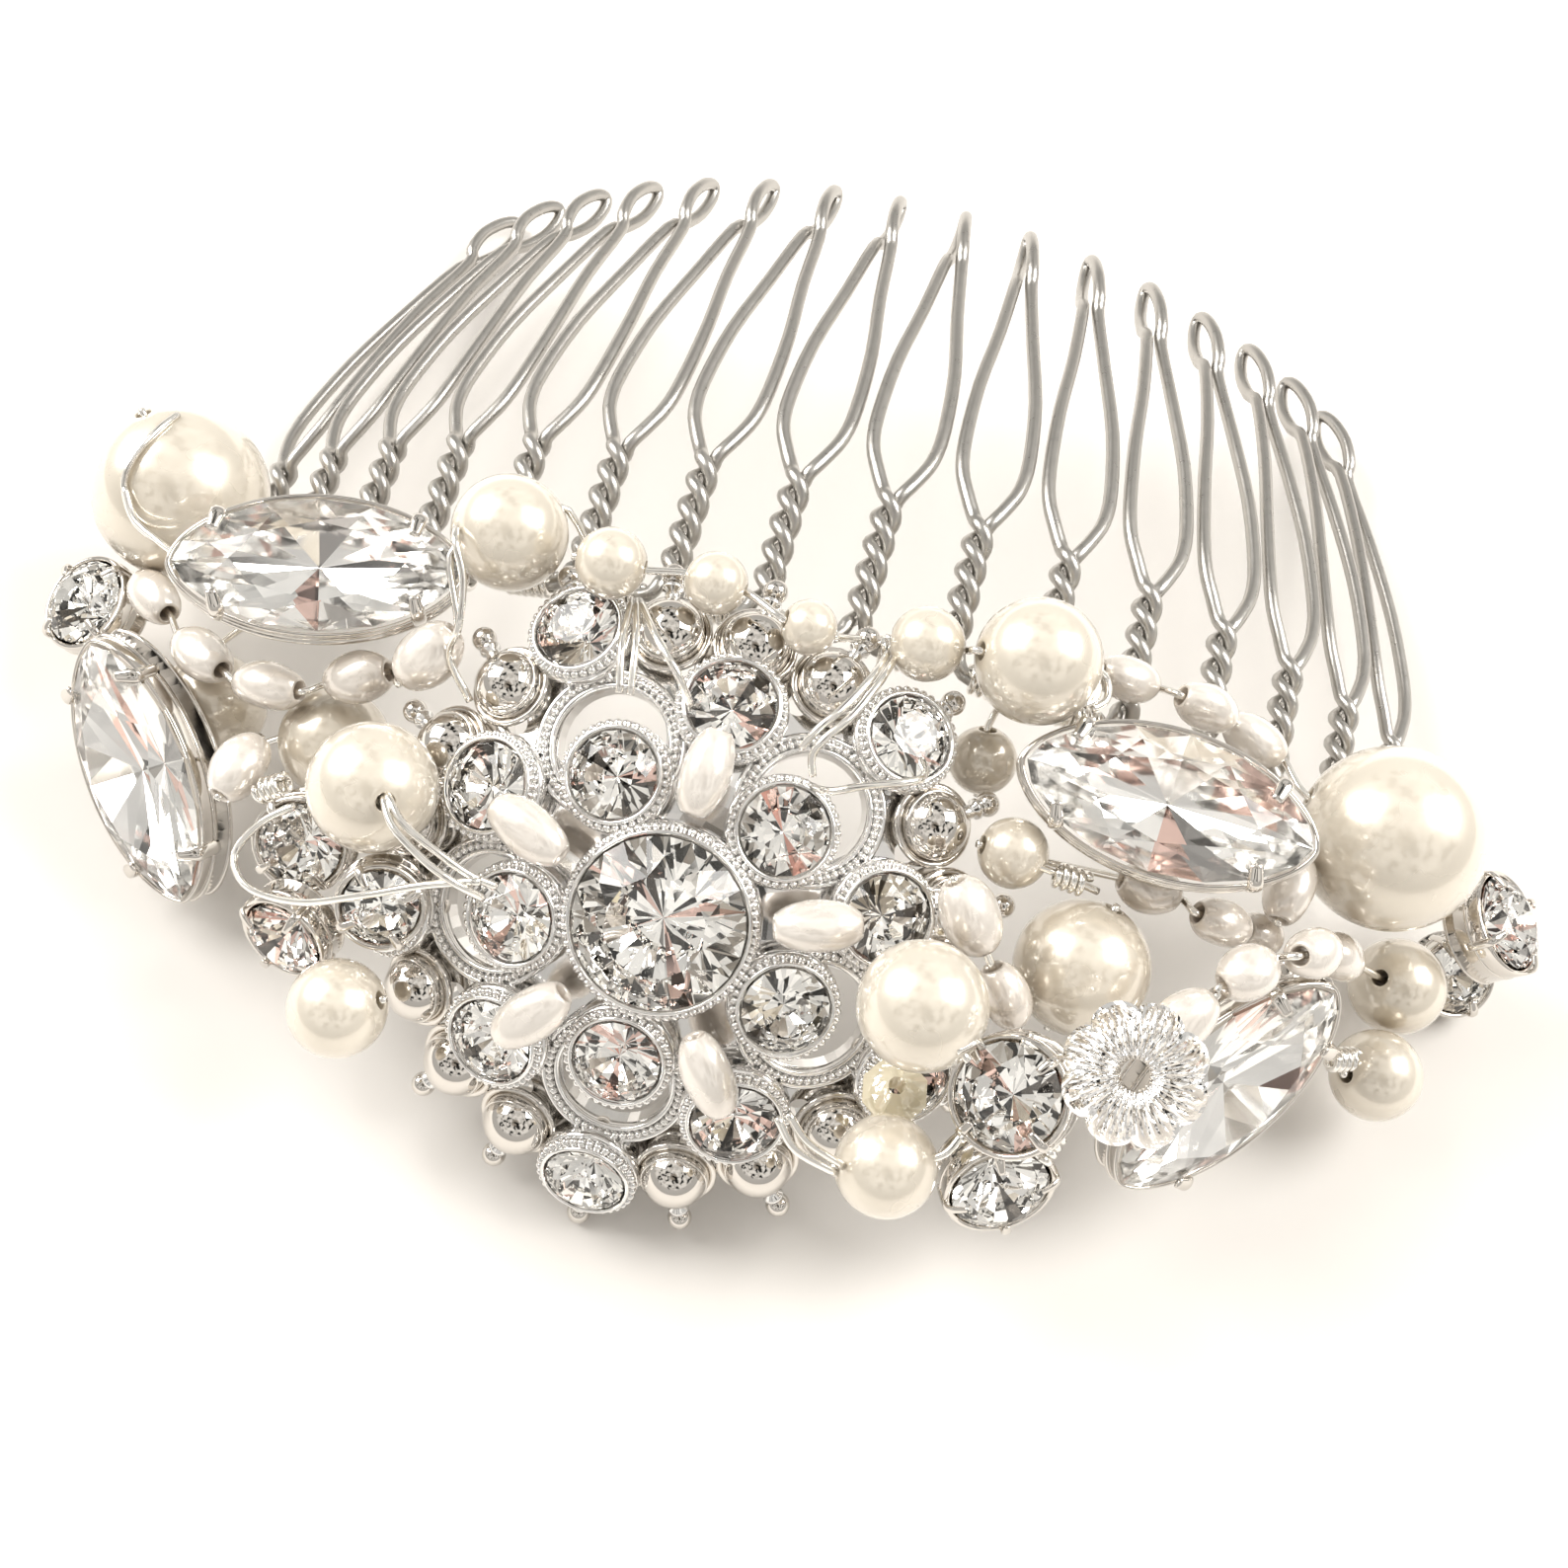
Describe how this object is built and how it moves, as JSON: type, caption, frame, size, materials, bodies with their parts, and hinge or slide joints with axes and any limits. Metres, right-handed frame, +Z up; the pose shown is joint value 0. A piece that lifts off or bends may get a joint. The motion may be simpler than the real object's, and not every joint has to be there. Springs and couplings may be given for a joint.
{
  "type": "tiara comb",
  "caption": "Bridal hair comb: twisted wire teeth on a curved bar, with a domed openwork brooch, pearls and boat-shaped and round crystals wired along the bar.",
  "frame": {"origin": "middle of the bounding box on the plane that the comb rests on", "axes": "+X runs along the arch, +Y along the teeth towards their tips, +Z up from the surface that the comb lies on"},
  "size_m": [0.0866, 0.0644, 0.0247],
  "materials": {
    "steel_wire": "drawn steel wire, slightly dull",
    "binding_wire": "bright silver wire",
    "silver_plate": "bright silver plate over cast metal",
    "pearl": "ivory pearl lustre",
    "crystal": "clear cut crystal, foiled behind",
    "champagne_crystal": "pale champagne crystal"
  },
  "bodies": {
    "root": {"wire_comb": "steel_wire", "brooch_frame": "silver_plate", "brooch_middle_stone": "crystal", "brooch_inner_stones": "crystal", "brooch_outer_stones": "crystal", "brooch_rim_stones": "crystal", "brooch_rice_pearls": "pearl", "pearl_left_end": "pearl", "pearl_left_hidden": "pearl", "pearl_left_low": "pearl", "pearl_left_front": "pearl", "pearl_left_wired": "pearl", "pearl_left_top": "pearl", "pearl_back_1": "pearl", "pearl_back_2": "pearl", "pearl_back_3": "pearl", "pearl_right_small_1": "pearl", "pearl_right_top": "pearl", "pearl_right_small_2": "pearl", "pearl_right_small_3": "pearl", "pearl_right_end": "pearl", "pearl_right_front": "pearl", "pearl_right_big": "pearl", "pearl_right_low": "pearl", "pearl_right_side_1": "pearl", "pearl_right_side_2": "pearl", "rice_pearls_left": "pearl", "rice_pearls_right": "pearl", "wires_left": "binding_wire", "wires_back": "binding_wire", "wires_right": "binding_wire", "navette_left_top_setting": "silver_plate", "navette_left_front_setting": "silver_plate", "navette_right_top_setting": "silver_plate", "navette_right_front_setting": "silver_plate", "navette_left_top_stone": "crystal", "navette_left_front_stone": "crystal", "navette_right_top_stone": "crystal", "navette_right_front_stone": "crystal", "chaton_left_end_setting": "silver_plate", "chaton_left_prong_setting": "silver_plate", "chaton_left_side_setting": "silver_plate", "chaton_left_low_setting": "silver_plate", "chaton_right_prong_setting": "silver_plate", "chaton_right_side_setting": "silver_plate", "chaton_right_end_setting": "silver_plate", "chaton_right_low_setting": "silver_plate", "chaton_left_end_stone": "crystal", "chaton_left_prong_stone": "crystal", "chaton_left_side_stone": "crystal", "chaton_left_low_stone": "crystal", "chaton_right_prong_stone": "crystal", "chaton_right_side_stone": "crystal", "chaton_right_end_stone": "crystal", "chaton_right_low_stone": "crystal", "flower_bead": "crystal", "bicone_bead": "champagne_crystal"}
  },
  "joints": []
}
